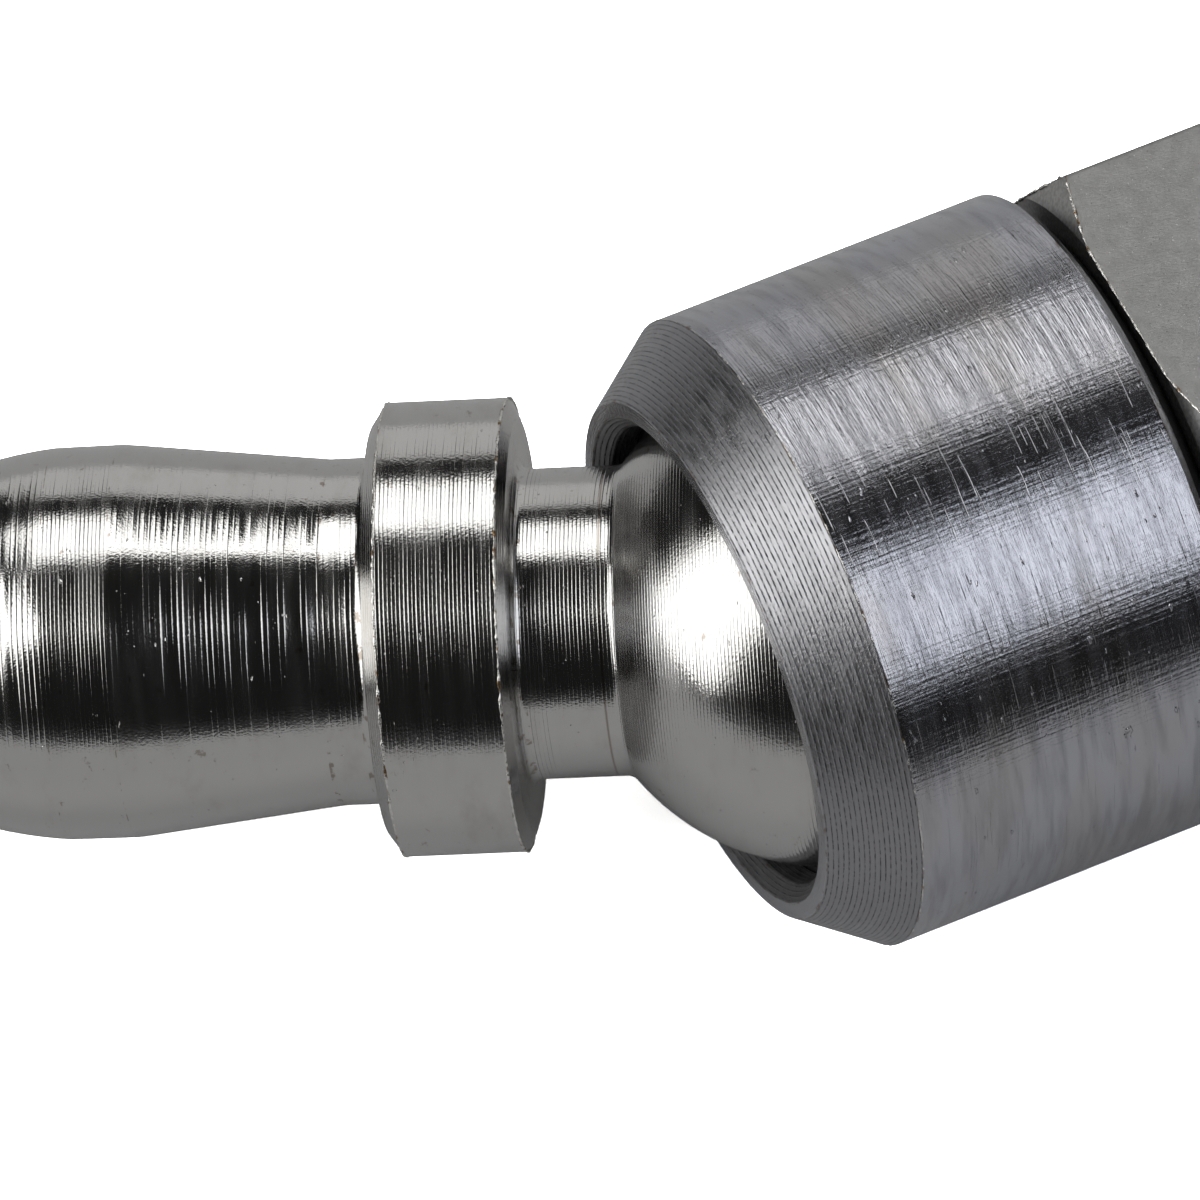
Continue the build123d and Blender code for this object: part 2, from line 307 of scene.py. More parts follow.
def nickel_plated_turned_steel(name, pitch, slope, uneven, step_mm, wave_mm):
    """Nickel-plated turned steel: mirror bright along each ring, while the rings' steep crests
    pull thin bright and dark lines out of every reflection. Brown stains sit in its corners.
    uneven is how much the rings differ from each other, from 0 to 1."""
    material, tree = new_material(name)
    lay = Turned(tree)
    strength = ramp(tree, lay.noise(step_mm, 5.0, 1.0), 0.35, 0.7, 1.0 - uneven, 1.0)
    rings = product(tree, lay.tool_rings(pitch, slope), strength)
    waves = product(tree, lay.noise(0.4, 3.0, 1.0), wave_mm)
    grain = product(tree, lay.noise(0.09, 480.0, 1.0), 0.004)
    pits = ramp(tree, lay.noise(0.16, 110.0, 2.0), 0.73, 0.8, 0.0, -0.02)
    haze = lay.noise(0.5, 10.0, 3.0)
    rough = ramp(tree, haze, 0.3, 0.75, 0.1, 0.19)
    clouds = ramp(tree, lay.noise(1.2, 12.0, 4.0, 0.65), 0.5, 0.8, 0.0, 0.35)
    colour = mixed(tree, clouds, srgb("#CCCBC9"), srgb("#A39D93"))
    spots = ramp(tree, lay.noise(0.35, 70.0, 3.0), 0.56, 0.66)
    corner = ramp(tree, lay.edge, 0.2, 1.0, 0.0, 0.6)
    neck_line = band(tree, lay.station, neck_stain_at - hairline, neck_stain_at + hairline,
                     hairline)
    rare = ramp(tree, lay.noise(0.5, 45.0, 4.0, 0.7), 0.64, 0.72, 0.0, 0.5)
    stains = total(tree, product(tree, spots, corner), product(tree, neck_line, 0.6), rare)
    colour = mixed(tree, maths(tree, "MINIMUM", stains, 1.0), colour, srgb(BROWN))
    close_material(tree, colour, 1.0, rough, total(tree, rings, waves, grain, pits))
    return material


def scuffed_nickel_plated_steel():
    """Nickel-plated steel, burnished and scuffed in tumbling: hazier than the stem, faintly blue,
    smeared round its axis, with hair-fine scratches along it and small dents."""
    material, tree = new_material("scuffed_nickel_plated_steel")
    lay = Turned(tree)
    smears = product(tree, lay.noise(0.07, 34.0, 3.0, 0.65), 0.018)
    broad = product(tree, lay.noise(0.5, 20.0, 3.0), 0.016)
    hairs = product(tree, lay.noise(3.2, 620.0, 1.0), 0.007)
    grain = product(tree, lay.noise(0.1, 560.0, 2.0), 0.007)
    scratch = ramp(tree, lay.noise(0.09, 22.0, 1.0), 0.28, 0.33, -0.01, 0.0)
    nicks = ramp(tree, lay.noise(0.22, 120.0, 2.0), 0.7, 0.78, 0.0, 0.04)
    haze = lay.noise(0.4, 20.0, 3.0)
    rough = ramp(tree, haze, 0.3, 0.75, 0.14, 0.24)
    colour = mixed(tree, ramp(tree, haze, 0.4, 0.7), srgb("#BFC0C6"), srgb("#A9AAB0"))
    warm = ramp(tree, lay.noise(2.5, 9.0, 3.0), 0.45, 0.7, 0.0, 0.35)
    colour = mixed(tree, warm, colour, srgb("#B3ABA2"))
    colour = lay.stained(colour, 0.52, 0.64, 0.2, 0.75, BROWN)
    close_material(tree, colour, 1.0, rough,
                   total(tree, smears, broad, hairs, grain, scratch, nicks))
    return material


def grooved_nickel_plated_steel():
    """Nickel-plated steel with the coarse rings of a form tool on the mouth's cone: dull and dark,
    each ring broken into short dashes of light. The rings' crests carry painted shade: their colour
    is darkened in dashes."""
    material, tree = new_material("grooved_nickel_plated_steel")
    lay = Turned(tree)
    dashes = ramp(tree, lay.noise(0.06, 260.0, 3.0, 0.65), 0.36, 0.64, 0.15, 1.0)
    cut = lay.tool_rings(0.16, 1.1, 0.01)
    rings = product(tree, cut, dashes)
    # Painted shade: the colour turns dark on the rings' steep crests, in dashes.
    crest_painted_shade = product(tree, ramp(tree, cut, 0.002, 0.014), dashes)
    waves = product(tree, lay.noise(0.5, 40.0, 2.0), 0.01)
    grain = product(tree, lay.noise(0.08, 620.0, 2.0), 0.012)
    rough = ramp(tree, lay.noise(0.2, 60.0, 2.0), 0.3, 0.7, 0.28, 0.4)
    colour = mixed(tree, crest_painted_shade, srgb("#A2A2A5"), srgb("#58585C"))
    colour = lay.stained(colour, 0.5, 0.64, 0.2, 0.6, BROWN)
    close_material(tree, colour, 1.0, rough, total(tree, rings, waves, grain))
    return material


def dull_nickel_plated_bar():
    """Nickel-plated drawn hex bar: satin grey flats, with a fine grit drawn out along the bar and
    small bright and dark specks; brown along its burred edges."""
    material, tree = new_material("dull_nickel_plated_drawn_bar")
    lay = Turned(tree)
    where = add(tree, "ShaderNodeTexCoord").outputs["Object"]
    grit_size = [1 / (size * MM) for size in (0.14, 0.06, 0.06)]
    drawn = add(tree, "ShaderNodeMapping", Vector=where, Scale=grit_size).outputs[0]
    grit = add(tree, "ShaderNodeTexNoise", Vector=drawn, Scale=1.0, Detail=3.0).outputs[0]
    specks = grain_noise(tree, where, 0.07, 1.0)
    cloud = grain_noise(tree, where, 0.5, 4.0)
    bright = ramp(tree, specks, 0.7, 0.76)
    dark = ramp(tree, specks, 0.24, 0.3, 1.0, 0.0)
    rough = ramp(tree, cloud, 0.3, 0.7, 0.4, 0.46)
    colour = mixed(tree, ramp(tree, cloud, 0.35, 0.7), srgb("#A5A5A4"), srgb("#A0A09F"))
    colour = mixed(tree, product(tree, bright, 0.7), colour, srgb("#E6E6E4"))
    colour = mixed(tree, product(tree, dark, 0.5), colour, srgb("#4C4A46"))
    colour = lay.stained(colour, 0.42, 0.6, 0.0, 0.75, RUST)
    close_material(tree, colour, 1.0, rough,
                   total(tree, product(tree, grit, 0.009), product(tree, bright, 0.006)))
    return material


def burred_nickel_plated_steel():
    """Torn metal on a machined edge: bright, crumpled, with rust in its hollows."""
    material, tree = new_material("burred_nickel_plated_steel")
    where = add(tree, "ShaderNodeTexCoord").outputs["Object"]
    rusty = ramp(tree, grain_noise(tree, where, 0.5, 3.0), 0.57, 0.68)
    colour = mixed(tree, rusty, srgb("#E6E4DF"), srgb("#8A7152"))
    close_material(tree, colour, 1.0, 0.2, product(tree, grain_noise(tree, where, 0.05, 2.0), 0.02))
    return material


def plain_finish(name, colour, other, roughness, metallic=0.0, grain_mm=0.4):
    """A quiet finish for rubber, plastic and spring steel: two close colours in a fine grain."""
    material, tree = new_material(name)
    where = add(tree, "ShaderNodeTexCoord").outputs["Object"]
    grain = grain_noise(tree, where, grain_mm, 3.0)
    shade = mixed(tree, ramp(tree, grain, 0.35, 0.65), srgb(colour), srgb(other))
    close_material(tree, shade, metallic, roughness, product(tree, grain, 0.004))
    return material


# --- places and sizes from the frame, in millimetres from the ball's centre along each axis ---
ball_centre = Vector(joints["stem_swing"]["pos_m"])
body_dir = Vector((1, 0, 0))
stem_dir = Vector(mounts["plug_nose"]["axis"])
swing_dir = Vector(joints["stem_swing"]["axis"])
place_on_body = placer(ball_centre, body_dir, Vector((0, 1, 0)))
place_on_stem = placer(ball_centre, stem_dir, swing_dir)


def station(x):
    """The station of a place on the body axis."""
    return (x - ball_centre.x) / MM


sleeve_low, sleeve_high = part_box("socket_sleeve")
hex_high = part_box("hex_body")[1]
mouth = station(sleeve_low[0])
sleeve_back = station(sleeve_high[0])
sleeve_r = sleeve_high[2] / MM
hex_half = hex_high[2] / MM
hex_back = station(0.0)
thread_end = station(hex_high[0])
nose_start = (Vector(mounts["plug_nose"]["pos_m"]) - ball_centre).length / MM
nose_r = mounts["plug_nose"]["dims"]["r_mm"]
nose_straight = mounts["plug_nose"]["dims"]["length_mm"]

# --- ball stem: sizes as designed -------------------------------------------------------------
ball_r = 7.8
bore_r = 2.25
bore_lead = 0.2
neck_r = 4.75
neck_fillet = 0.45
neck_len = 2.9
neck_stain_at = 6.62
collar_len = 4.4
collar_r = 6.95
collar_near_edge = (0.25, 0.65)
collar_far_edge = (0.45, 0.65)
collar_root = 0.3
waist_r = 5.3
waist_len = 1.4
crest_run = 8.7
crest_r = 6.05
crest_arc = 13.0
waist_angle, nose_angle = 6.52, 29.99
nose_edge = 0.8
hollow_at = sqrt((ball_r + neck_fillet) ** 2 - (neck_r + neck_fillet) ** 2)
collar_start = hollow_at + neck_len
collar_end = collar_start + collar_len

# The lathe passes over the stem, as finishes of its stretches: name, pitch of the tool's rings,
# slope and unevenness of their crests, and the step and height of the waves under them.
FINE, COARSE, BALL = 0, 1, 2
stem_passes = (
    ("nickel_plated_steel_fine_turned", 0.125, 0.36, 0.5, 0.17, 0.005),
    ("nickel_plated_steel_rough_turned", 0.17, 0.38, 0.95, 0.3, 0.03),
    ("nickel_plated_steel_ball_turned", 0.12, 0.3, 0.3, 0.2, 0.004),
)
round_steps = 384        # facets round the stem and the sleeve


def make_ball_stem():
    """Ball, neck, collar, waist, crest and nose, turned and bored in one piece."""
    lead_r = bore_r + bore_lead
    back = sqrt(ball_r**2 - lead_r**2)
    hollow_up = degrees(atan2(neck_r + neck_fillet, hollow_at))
    ball = arc((0, 0), ball_r, 180 - degrees(asin(lead_r / ball_r)), hollow_up, 90, BALL)
    hollow = arc((hollow_at, neck_r + neck_fillet), neck_fillet, hollow_up - 180, -90, 8, FINE)
    crest_centre = (collar_end + crest_run, crest_r - crest_arc)
    rise = arc(crest_centre, crest_arc, 90 + waist_angle, 94, 6, COARSE)
    crest = [(x, r, 0.02, FINE) for x, r, _, _ in arc(crest_centre, crest_arc, 94, 85, 1)]
    fall = arc(crest_centre, crest_arc, 85, 90 - nose_angle, 24, COARSE)
    nose_end = nose_start + nose_straight + nose_edge
    corners = ball + hollow[1:] + [
        (collar_start, neck_r, collar_root, FINE),
        (collar_start, collar_r - collar_near_edge[1], 0.12, FINE),
        (collar_start + collar_near_edge[0], collar_r, 0.05, FINE),
        (collar_end - collar_far_edge[0], collar_r, 0.05, FINE),
        (collar_end, collar_r - collar_far_edge[1], 0.15, FINE),
        (collar_end, waist_r, collar_root, COARSE),
        (collar_end + waist_len, waist_r, 1.0, COARSE),
    ] + rise[:-1] + crest[:1] + [(*crest[1][:3], COARSE)] + fall[1:] + [
        (nose_start, nose_r, 0.4, FINE),
        (nose_end - nose_edge, nose_r, 0.08, FINE),
        (nose_end, nose_r - nose_edge, 0.08, FINE),
        (nose_end, lead_r, 0.04, FINE),
        (nose_end - bore_lead, bore_r, 0.04, FINE),
        (bore_lead - back, bore_r, 0.04, FINE),
    ]
    outline = eased(corners)
    finishes = [nickel_plated_turned_steel(*lathe_pass) for lathe_pass in stem_passes]
    piece = spun("ball_stem_turned", lambda angle: outline, even_turns(round_steps),
                 place_on_stem, finishes)
    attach(piece, "stem")
    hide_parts("ball_stem")


# --- socket sleeve: sizes as designed ---------------------------------------------------------
throat_r = 7.45
mouth_bevel = 0.45
lip_width = 0.52
cone_len = 2.4
flange = 1.25
liner_bore_r = 8.5
screw_r = 9.0
liner_back = 2.15
seal_cover_r = 9.25
groove_front = sleeve_back + 0.55 - 1.0
back_edge = 0.25
SCUFFED, GROOVED = 0, 1


def make_socket_sleeve():
    """Coned sleeve: bevelled throat, flat lip, outer cone, and bore for ring and screw joint."""
    lip_r = throat_r + mouth_bevel
    outline = eased([
        (mouth + mouth_bevel, throat_r, 0.03, GROOVED),
        (mouth, lip_r, 0.03, SCUFFED),
        (mouth, lip_r + lip_width, 0.06, GROOVED),
        (mouth + cone_len, sleeve_r, 0.08, SCUFFED),
        (sleeve_back - back_edge, sleeve_r, 0.06, SCUFFED),
        (sleeve_back, sleeve_r - back_edge, 0.06, SCUFFED),
        (sleeve_back, seal_cover_r, 0.04, SCUFFED),
        (groove_front, seal_cover_r, 0, SCUFFED),
        (groove_front, screw_r, 0, SCUFFED),
        (liner_back, screw_r, 0, SCUFFED),
        (liner_back, liner_bore_r, 0, SCUFFED),
        (mouth + flange, liner_bore_r, 0, SCUFFED),
        (mouth + flange, throat_r, 0.03, GROOVED),
    ])
    finishes = (scuffed_nickel_plated_steel(), grooved)
    piece = spun("socket_sleeve_turned", lambda angle: outline, even_turns(round_steps),
                 place_on_body, finishes)
    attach(piece, "socket")
    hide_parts("socket_sleeve")


# --- hex body: sizes as designed --------------------------------------------------------------
hex_front = sleeve_back + 0.55
hex_corner_cut = 1.12
hex_bevel = 30.0
hex_corner_ease = 0.25
spigot_front = 2.2
groove_r = 8.25
pocket_r, pocket_back = 7.6, 5.0
seal_pocket_r, pocket_floor = 7.1, sleeve_back - 1.4
port_bore_r = 2.75
port_r = mounts["body_thread"]["dims"]["r_mm"]
face_groove_in, face_groove_out, face_groove_deep = 6.93, 8.53, 1.25
hex_face_r = hex_half / cos(radians(30)) - hex_corner_cut

# Parallel pipe thread of 1/4 inch: 19 threads to the inch.
thread_pitch = 25.4 / 19
thread_root_r = 5.72
thread_runout = 1.1      # plain neck between the shoulder and the first thread
thread_lead = 0.6
DRAWN, TURNED = 0, 1


def hex_radius(angle):
    """Distance from the axis to the hex's side, with its corners eased by a small arc."""
    sixth = pi / 3
    off_corner = (angle + sixth / 2) % sixth - sixth / 2
    centre = (hex_half - hex_corner_ease) / cos(radians(30))
    touch = atan2(hex_corner_ease / 2, centre + hex_corner_ease * cos(radians(30)))
    if abs(off_corner) < touch:
        return centre * cos(off_corner) + sqrt(hex_corner_ease**2 - (centre * sin(off_corner)) ** 2)
    return hex_half / cos(radians(30) - abs(off_corner))


def hex_angles():
    """Even steps over each flat, with close ones at its corners."""
    near = [0.0, 0.15, 0.3, 0.45, 0.6, 0.8, 1.1, 1.6]
    steps = near + [2.2 + 55.6 * i / 56 for i in range(57)] + [60 - d for d in reversed(near[1:])]
    return [radians(60 * side + step) for side in range(6) for step in steps]


def bevel_reach(angle):
    """How far along the axis the corner bevel runs at an angle."""
    return max(hex_radius(angle) - hex_face_r, 0.02) * tan(radians(hex_bevel))


def hex_outline(angle):
    """The hex body's outline at an angle; the bevel stops where it meets the flat."""
    side_r = hex_radius(angle)
    face_r = min(hex_face_r, side_r - 0.02)
    run = bevel_reach(angle)
    return eased([
        (spigot_front, pocket_r, 0, TURNED),
        (spigot_front, screw_r, 0, TURNED),
        (groove_front, screw_r, 0, TURNED),
        (groove_front, groove_r, 0, TURNED),
        (hex_front, groove_r, 0, TURNED),
        (hex_front, face_r, 0.03, TURNED),
        (hex_front + run, side_r, 0.04, DRAWN),
        (hex_back - run, side_r, 0.04, TURNED),
        (hex_back, face_r, 0.03, TURNED),
        (hex_back, face_groove_out, 0.03, TURNED),
        (hex_back - face_groove_deep, face_groove_out, 0, TURNED),
        (hex_back - face_groove_deep, face_groove_in, 0, TURNED),
        (hex_back, face_groove_in, 0.03, TURNED),
        (hex_back, thread_root_r, 0.1, TURNED),
        (thread_end - thread_lead, thread_root_r, 0.05, TURNED),
        (thread_end, thread_root_r - thread_lead / 2, 0.05, TURNED),
        (thread_end, port_bore_r, 0.05, TURNED),
        (pocket_floor, port_bore_r, 0.05, TURNED),
        (pocket_floor, seal_pocket_r, 0, TURNED),
        (pocket_back, seal_pocket_r, 0, TURNED),
        (pocket_back, pocket_r, 0, TURNED),
    ])


def make_hex_body():
    finishes = (dull_nickel_plated_bar(), machined)
    piece = spun("hex_body_milled", hex_outline, hex_angles(), place_on_body, finishes)
    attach(piece, "socket")
    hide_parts("hex_body")


# --- Geometry Nodes: the thread's ridge, and burrs along edges --------------------------------
def node_group(name, sizes):
    """A Geometry Nodes tree with named size inputs, and those inputs inside it."""
    tree = bpy.data.node_groups.new(name, "GeometryNodeTree")
    tree.interface.new_socket("Geometry", in_out="INPUT", socket_type="NodeSocketGeometry")
    tree.interface.new_socket("Geometry", in_out="OUTPUT", socket_type="NodeSocketGeometry")
    for size, kind in sizes.items():
        tree.interface.new_socket(size, in_out="INPUT", socket_type=f"NodeSocket{kind}")
    return tree, tree.nodes.new("NodeGroupInput").outputs


def close_group(tree, geometry, material):
    """Ends a tree: instances made real, material set."""
    real = add(tree, "GeometryNodeRealizeInstances", Geometry=geometry).outputs[0]
    painted = add(tree, "GeometryNodeSetMaterial", Geometry=real, Material=material).outputs[0]
    add(tree, "NodeGroupOutput", n0=painted)


def grown(name, base, tree, sizes):
    """The plain mesh that a tree makes from a base mesh with these sizes."""
    grower = in_scene(name, base)
    modifier = grower.modifiers.new(tree.name, "NODES")
    modifier.node_group = tree
    for item in tree.interface.items_tree:
        if item.in_out == "INPUT" and item.name in sizes:
            modifier[item.identifier] = sizes[item.name]
    evaluated = grower.evaluated_get(bpy.context.evaluated_depsgraph_get())
    mesh = bpy.data.meshes.new_from_object(evaluated)
    mesh.name = name
    bpy.data.objects.remove(grower)
    mesh.polygons.foreach_set("use_smooth", [True] * len(mesh.polygons))
    mesh.update()
    return in_scene(name, mesh)


def thread_tree(material):
    """A ridge of truncated vee section that winds along X, with its ends run out to nothing."""
    tree, given = node_group("pipe_thread_ridge", {
        "Start": "Float", "Length": "Float", "Pitch": "Float", "Root": "Float", "Crest": "Float"})
    turns = maths(tree, "DIVIDE", given["Length"], given["Pitch"])
    helix = add(tree, "GeometryNodeCurveSpiral", Resolution=96, Rotations=turns,
                Start_Radius=given["Root"], End_Radius=given["Root"],
                Height=given["Length"]).outputs[0]
    part = add(tree, "GeometryNodeSplineParameter").outputs["Factor"]
    fade = product(tree, ramp(tree, part, 0.0, 0.06, 0.05, 1.0),
                   ramp(tree, part, 0.94, 1.0, 1.0, 0.05))
    helix = add(tree, "GeometryNodeSetCurveNormal", {"mode": "Z_UP"}, Curve=helix).outputs[0]
    deep = maths(tree, "SUBTRACT", given["Crest"], given["Root"])
    section = add(tree, "GeometryNodeCurvePrimitiveQuadrilateral", {"mode": "TRAPEZOID"},
                  Height=product(tree, deep, 1.3), Bottom_Width=product(tree, given["Pitch"], 1.0),
                  Top_Width=product(tree, given["Pitch"], 0.26), Offset=0.0).outputs[0]
    lift = add(tree, "ShaderNodeCombineXYZ", X=product(tree, deep, -0.35)).outputs[0]
    section = add(tree, "GeometryNodeTransform", Geometry=section, Translation=lift,
                  Rotation=(0.0, 0.0, pi / 2)).outputs[0]
    section = add(tree, "GeometryNodeFilletCurve", Curve=section, Radius=0.08 * MM,
                  Limit_Radius=True).outputs[0]
    ridge = add(tree, "GeometryNodeCurveToMesh", Curve=helix, Profile_Curve=section, Scale=fade,
                Fill_Caps=True).outputs[0]
    start = add(tree, "ShaderNodeCombineXYZ", X=given["Start"]).outputs[0]
    laid = add(tree, "GeometryNodeTransform", Geometry=ridge, Translation=start,
               Rotation=(0.0, pi / 2, 0.0)).outputs[0]
    close_group(tree, laid, material)
    return tree


def make_thread():
    """The male thread's ridge, on the root cylinder of the hex body."""
    length = thread_end - hex_back - thread_runout - thread_lead / 2
    piece = grown("male_thread_ridge", bpy.data.meshes.new("thread_base"), thread_tree(machined), {
        "Start": thread_runout * MM, "Length": length * MM, "Pitch": thread_pitch * MM,
        "Root": thread_root_r * MM, "Crest": port_r * MM})
    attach(piece, "socket")


def burr_tree(material):
    """A thin bead along each edge line of the base mesh, uneven and wandering a little."""
    tree, given = node_group("edge_burr", {
        "Spacing": "Float", "Thickness": "Float", "Wander": "Float", "Seed": "Float"})
    line = add(tree, "GeometryNodeMeshToCurve", Mesh=given["Geometry"]).outputs[0]
    line = add(tree, "GeometryNodeResampleCurve", {"mode": "LENGTH"}, Curve=line,
               Length=given["Spacing"]).outputs[0]
    where = add(tree, "GeometryNodeInputPosition").outputs[0]
    shake = add(tree, "ShaderNodeTexNoise", {"noise_dimensions": "4D"}, Vector=where,
                W=given["Seed"], Scale=1 / (0.12 * MM), Detail=1.0).outputs[1]
    shake = add(tree, "ShaderNodeVectorMath", {"operation": "SUBTRACT"}, n0=shake,
                n1=(0.5, 0.5, 0.5)).outputs[0]
    shake = scaled(tree, shake, given["Wander"])
    line = add(tree, "GeometryNodeSetPosition", Geometry=line, Offset=shake).outputs[0]
    patches = add(tree, "ShaderNodeTexNoise", {"noise_dimensions": "4D"}, Vector=where,
                  W=given["Seed"], Scale=1 / (0.35 * MM), Detail=3.0).outputs[0]
    thick = product(tree, ramp(tree, patches, 0.36, 0.62, 0.3, 1.0), given["Thickness"])
    section = add(tree, "GeometryNodeCurvePrimitiveCircle", Resolution=6, Radius=1.0).outputs[0]
    bead = add(tree, "GeometryNodeCurveToMesh", Curve=line, Profile_Curve=section, Scale=thick,
               Fill_Caps=True).outputs[0]
    close_group(tree, bead, material)
    return tree


def edge_lines(name, lines):
    """A mesh of loose edges along some lines of points; a closed line ends where it starts."""
    verts, edges = [], []
    for points, closed in lines:
        first = len(verts)
        verts += points
        edges += [(first + i, first + i + 1) for i in range(len(points) - 1)]
        if closed:
            edges.append((len(verts) - 1, first))
    mesh = bpy.data.meshes.new(name)
    mesh.from_pydata(verts, edges, [])
    return mesh


def circle_line(place, x, r):
    return [place(x * MM, r * MM, angle) for angle in even_turns(360)], True


def hex_edge_line(side, end):
    """The curved edge between one flat and the corner bevel, at the front or back of the hex."""
    angles = [radians(60 * side + 1.5 + 57 * i / 80) for i in range(81)]
    points = []
    for angle in angles:
        x = hex_front + bevel_reach(angle) if end == "front" else hex_back - bevel_reach(angle)
        points.append(place_on_body(x * MM, (hex_radius(angle) - 0.01) * MM, angle))
    return points, False


def make_burrs():
    """Burrs on the edges that the real piece has them on: sleeve, collar and hex."""
    tree = burr_tree(burred_nickel_plated_steel())
    jobs = (
        ("sleeve_burrs", "socket", "sleeve_steel", 0.032, 1.0, [
            circle_line(place_on_body, mouth + cone_len + 0.01, sleeve_r - 0.02),
            circle_line(place_on_body, sleeve_back - 0.06, sleeve_r - back_edge + 0.01)]),
        ("collar_burrs", "stem", "turned_steel", 0.065, 2.0, [
            circle_line(place_on_stem, collar_start + collar_near_edge[0], collar_r - 0.025),
            circle_line(place_on_stem, collar_end - collar_far_edge[0], collar_r - 0.025)]),
        ("hex_burrs", "socket", "hex_steel", 0.07, 3.0, [
            hex_edge_line(side, end) for side in range(6) for end in ("front", "back")]),
    )
    for name, body, slot, thickness, seed, lines in jobs:
        piece = grown(name, edge_lines(name, lines), tree, {
            "Spacing": 0.05 * MM, "Thickness": thickness * MM, "Wander": 0.06 * MM, "Seed": seed})
        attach(piece, body)


# --- seals ------------------------------------------------------------------------------------
def rubber_ring(name, node):
    """A rubber ring of round section, as large as its node."""
    low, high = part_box(node)
    section = (high[0] - low[0]) / MM
    ring_r = high[2] / MM - section / 2
    outline = [(x, r, 0.0, 0) for x, r, _, _ in
               arc((station((low[0] + high[0]) / 2), ring_r), section / 2, 0, 345, 23)]
    piece = spun(name, lambda angle: outline, even_turns(160), place_on_body, (rubber,))
    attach(piece, "socket")
    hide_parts(node)


grooved = grooved_nickel_plated_steel()
# Nickel-plated steel, machined: plain grey metal, a little brighter than the drawn flats.
machined = plain_finish("nickel_plated_machined_steel", "#B4B3B1", "#9C9B99", 0.32, metallic=1.0,
                        grain_mm=0.12)
# Nitrile rubber, moulded: near black with a soft sheen.
rubber = plain_finish("moulded_nitrile_rubber", "#141414", "#1E1D1C", 0.55)
# Black acetal, moulded and turned: waxy, a little shiny.
acetal = plain_finish("moulded_black_acetal", "#17171A", "#202024", 0.4)
# Oiled spring steel: dark and slightly blue.
spring_steel = plain_finish("oiled_spring_steel", "#6E6F74", "#5A5A5E", 0.34, metallic=1.0)

make_ball_stem()
make_socket_sleeve()
make_hex_body()
make_thread()
make_burrs()
rubber_ring("ball_seal_moulded", "ball_seal_ring")
rubber_ring("spigot_seal_moulded", "spigot_o_ring")
rubber_ring("thread_seal_moulded", "thread_seal_ring")
inner_finish = {
    "front_bearing_ring": acetal,
    "rear_seat_ring": acetal,
    "backing_washer": spring_steel,
    "disc_spring": spring_steel,
}
for node_name, finish in inner_finish.items():
    cad_piece = bpy.data.objects[node_name]
    cad_piece.data.materials.clear()
    cad_piece.data.materials.append(finish)

# --- camera -----------------------------------------------------------------------------------
camera_up = radians(54.3)             # above the table
camera_round = radians(25.7)          # between the picture's right and the body axis
view_distance = 0.61
view_width = 0.0366                   # what the frame spans at the ball
aim_left, aim_up = 0.007015, 0.00035  # the frame's middle from the ball's centre

right = Vector((cos(camera_round), -sin(camera_round), 0))
away = Vector((sin(camera_round), cos(camera_round), 0))
toward = UP * sin(camera_up) - away * cos(camera_up)
picture_up = away * sin(camera_up) + UP * cos(camera_up)

camera = in_scene("camera", bpy.data.cameras.new("camera"))
camera.data.sensor_width = 36.0
camera.data.lens = camera.data.sensor_width * view_distance / view_width
camera.data.clip_start = 0.01
camera.location = ball_centre - right * aim_left + picture_up * aim_up + toward * view_distance
camera.rotation_mode = "QUATERNION"
camera.rotation_quaternion = Matrix((right, picture_up, toward)).transposed().to_quaternion()
bpy.context.scene.camera = camera


# --- studio -----------------------------------------------------------------------------------
def studio(x, y, z):
    """A place or direction in the studio: to the picture's right, away from the viewer, and up."""
    return right * x + away * y + UP * z


def soft_box(tree, ray, centre, across, over, half_width, half_height, soft, level):
    """Light along a ray from a rectangular soft box: its centre and the directions of its
    sides. Sizes are for a box at a distance of 1, soft is the width of its faded rim."""
    facing = across.cross(over)

    def along(direction):
        return add(tree, "ShaderNodeVectorMath", {"operation": "DOT_PRODUCT"},
                   n0=ray, n1=tuple(direction)).outputs["Value"]

    reach = centre.dot(facing)
    ahead = product(tree, along(facing), 1 / reach)
    scale = maths(tree, "DIVIDE", 1.0, maths(tree, "MAXIMUM", ahead, 0.001))
    x = maths(tree, "SUBTRACT", product(tree, along(across), scale), centre.dot(across))
    y = maths(tree, "SUBTRACT", product(tree, along(over), scale), centre.dot(over))
    return product(tree, band(tree, x, -half_width, half_width, soft),
                   band(tree, y, -half_height, half_height, soft),
                   maths(tree, "GREATER_THAN", ahead, 0.001), level)


def facing_box(tree, ray, azimuth, elevation, half_width, half_height, soft, level):
    """A soft box square to the line to the object; azimuth 90 is to the picture's right."""
    a, e = radians(azimuth), radians(elevation)
    centre = studio(sin(a) * cos(e), -cos(a) * cos(e), sin(e))
    across = centre.cross(UP).normalized()
    over = across.cross(centre)
    return soft_box(tree, ray, centre, across, over, half_width, half_height, soft, level)


# Light colours as linear RGB, and what the dark room itself gives off.
LAMP_WHITE = (1.0, 0.995, 0.985)
DAYLIGHT = (0.94, 0.965, 1.03)
ROOM_GLOW = 0.012


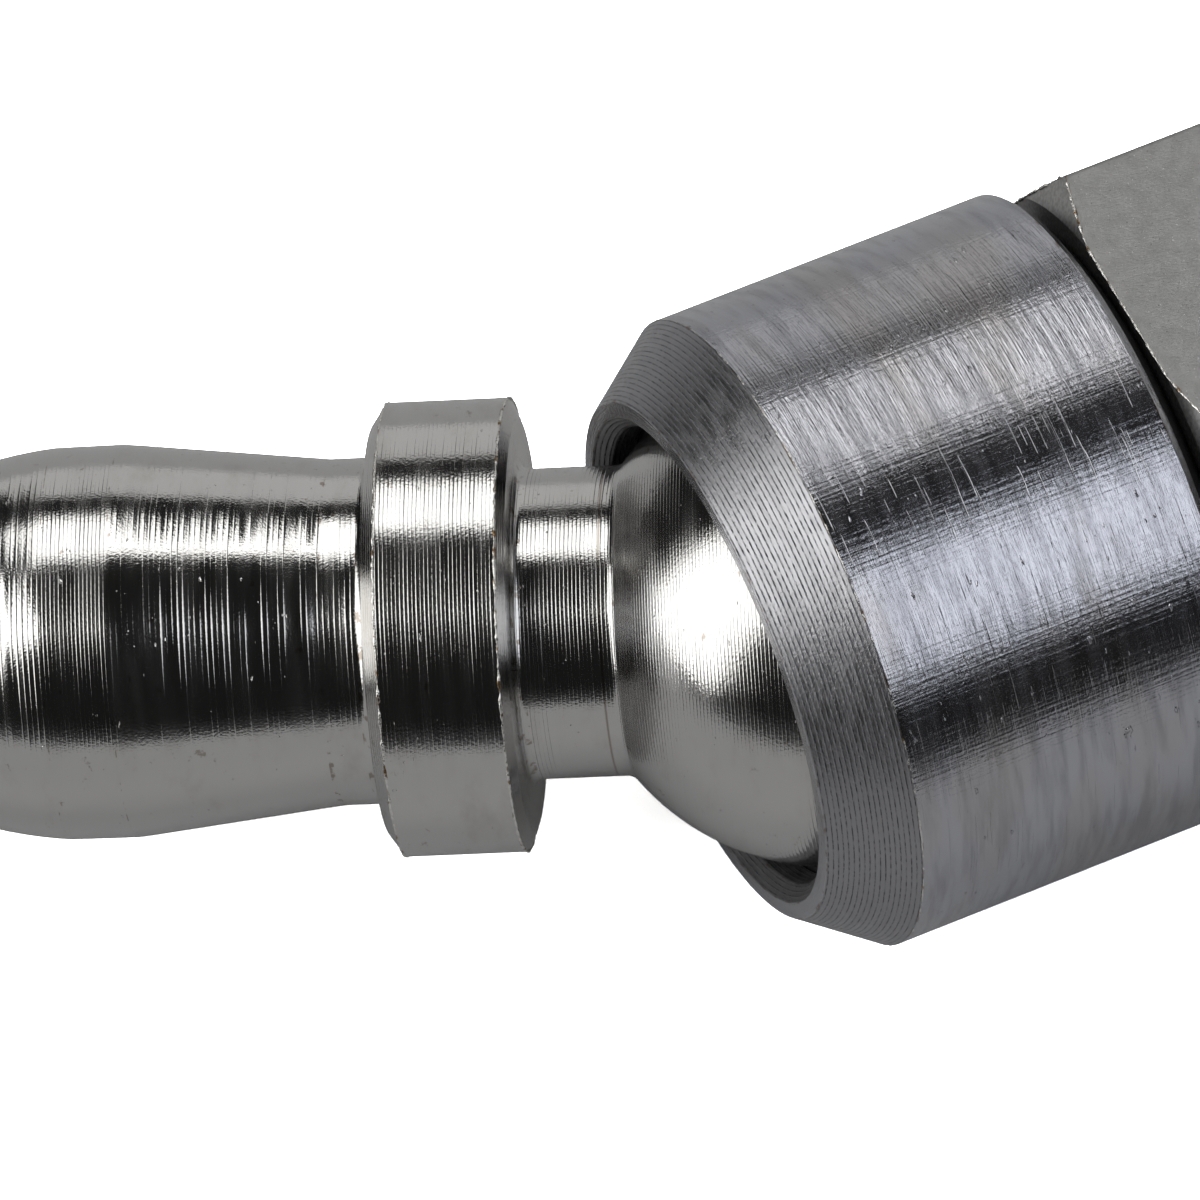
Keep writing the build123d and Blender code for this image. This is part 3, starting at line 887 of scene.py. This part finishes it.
def make_studio():
    """Dark room with soft boxes left and right, two panels overhead and a lit backdrop. The
    camera itself sees plain white."""
    world = bpy.data.worlds.new("studio")
    bpy.context.scene.world = world
    world.use_nodes = True
    tree = world.node_tree
    tree.nodes.clear()
    ray = add(tree, "ShaderNodeTexCoord").outputs["Generated"]
    left_box = facing_box(tree, ray, -71, 27, 0.44, 0.7, 0.1, 2.2)
    right_box = facing_box(tree, ray, 55, 44, 0.34, 0.38, 0.1, 1.4)
    backdrop = facing_box(tree, ray, 160, -4, 0.85, 0.72, 0.05, 0.57)
    turn = radians(20)
    tall_across, tall_over = studio(cos(turn), sin(turn), 0), studio(-sin(turn), cos(turn), 0)
    tall_panel = soft_box(tree, ray, studio(-0.27, 0.63, 1), tall_across, tall_over,
                          0.28, 0.36, 0.05, 2.0)
    low_panel = soft_box(tree, ray, studio(0.12, 0.4, 1), studio(1, 0, 0), studio(0, 1, 0),
                         0.3, 0.09, 0.04, 2.0)
    ceiling = maths(tree, "MAXIMUM", tall_panel, low_panel)
    lamps = scaled(tree, LAMP_WHITE, total(tree, left_box, ceiling, backdrop, ROOM_GLOW))
    daylight = scaled(tree, DAYLIGHT, right_box)
    light = add(tree, "ShaderNodeVectorMath", {"operation": "ADD"}, n0=lamps,
                n1=daylight).outputs[0]
    seen = add(tree, "ShaderNodeLightPath").outputs["Is Camera Ray"]
    room = add(tree, "ShaderNodeBackground", Color=light, Strength=1.0)
    plain = add(tree, "ShaderNodeBackground", Color=srgb("#FFFFFF"), Strength=1.0)
    both = add(tree, "ShaderNodeMixShader", n0=seen, n1=room.outputs[0], n2=plain.outputs[0])
    add(tree, "ShaderNodeOutputWorld", Surface=both.outputs[0])


BURNT_OUT = 9.0


def make_sheet():
    """The pale sheet that the joint lies on: burnt out for the camera, grey in reflections, and
    near black in front of the joint as painted shade for the dark room on the camera's side."""
    size = 3.0
    z = sleeve_low[2] - 0.02 * MM
    corners = [(-size, -size, z), (size, -size, z), (size, size, z), (-size, size, z)]
    mesh = bpy.data.meshes.new("pale_sheet")
    mesh.from_pydata(corners, [], [(0, 1, 2, 3)])
    sheet = in_scene("pale_sheet", mesh)
    material, tree = new_material("matt_paper")
    where = add(tree, "ShaderNodeTexCoord").outputs["Object"]
    depth = add(tree, "ShaderNodeVectorMath", {"operation": "DOT_PRODUCT"}, n0=where,
                n1=tuple(away)).outputs["Value"]
    # Painted shade: the sheet turns near black in front of the joint for all rays but the camera's.
    shade = ramp(tree, depth, -0.11, -0.06, 0.05, 0.61)
    paper_and_painted_shade = add(tree, "ShaderNodeCombineXYZ", X=shade, Y=shade, Z=shade).outputs[0]
    seen = add(tree, "ShaderNodeLightPath").outputs["Is Camera Ray"]
    colour = mixed(tree, seen, paper_and_painted_shade, (BURNT_OUT, BURNT_OUT, BURNT_OUT, 1))
    shader = add(tree, "ShaderNodeBsdfDiffuse", Color=colour)
    add(tree, "ShaderNodeOutputMaterial", Surface=shader.outputs[0])
    mesh.materials.append(material)


make_studio()
make_sheet()
bpy.context.scene.view_settings.view_transform = "Standard"
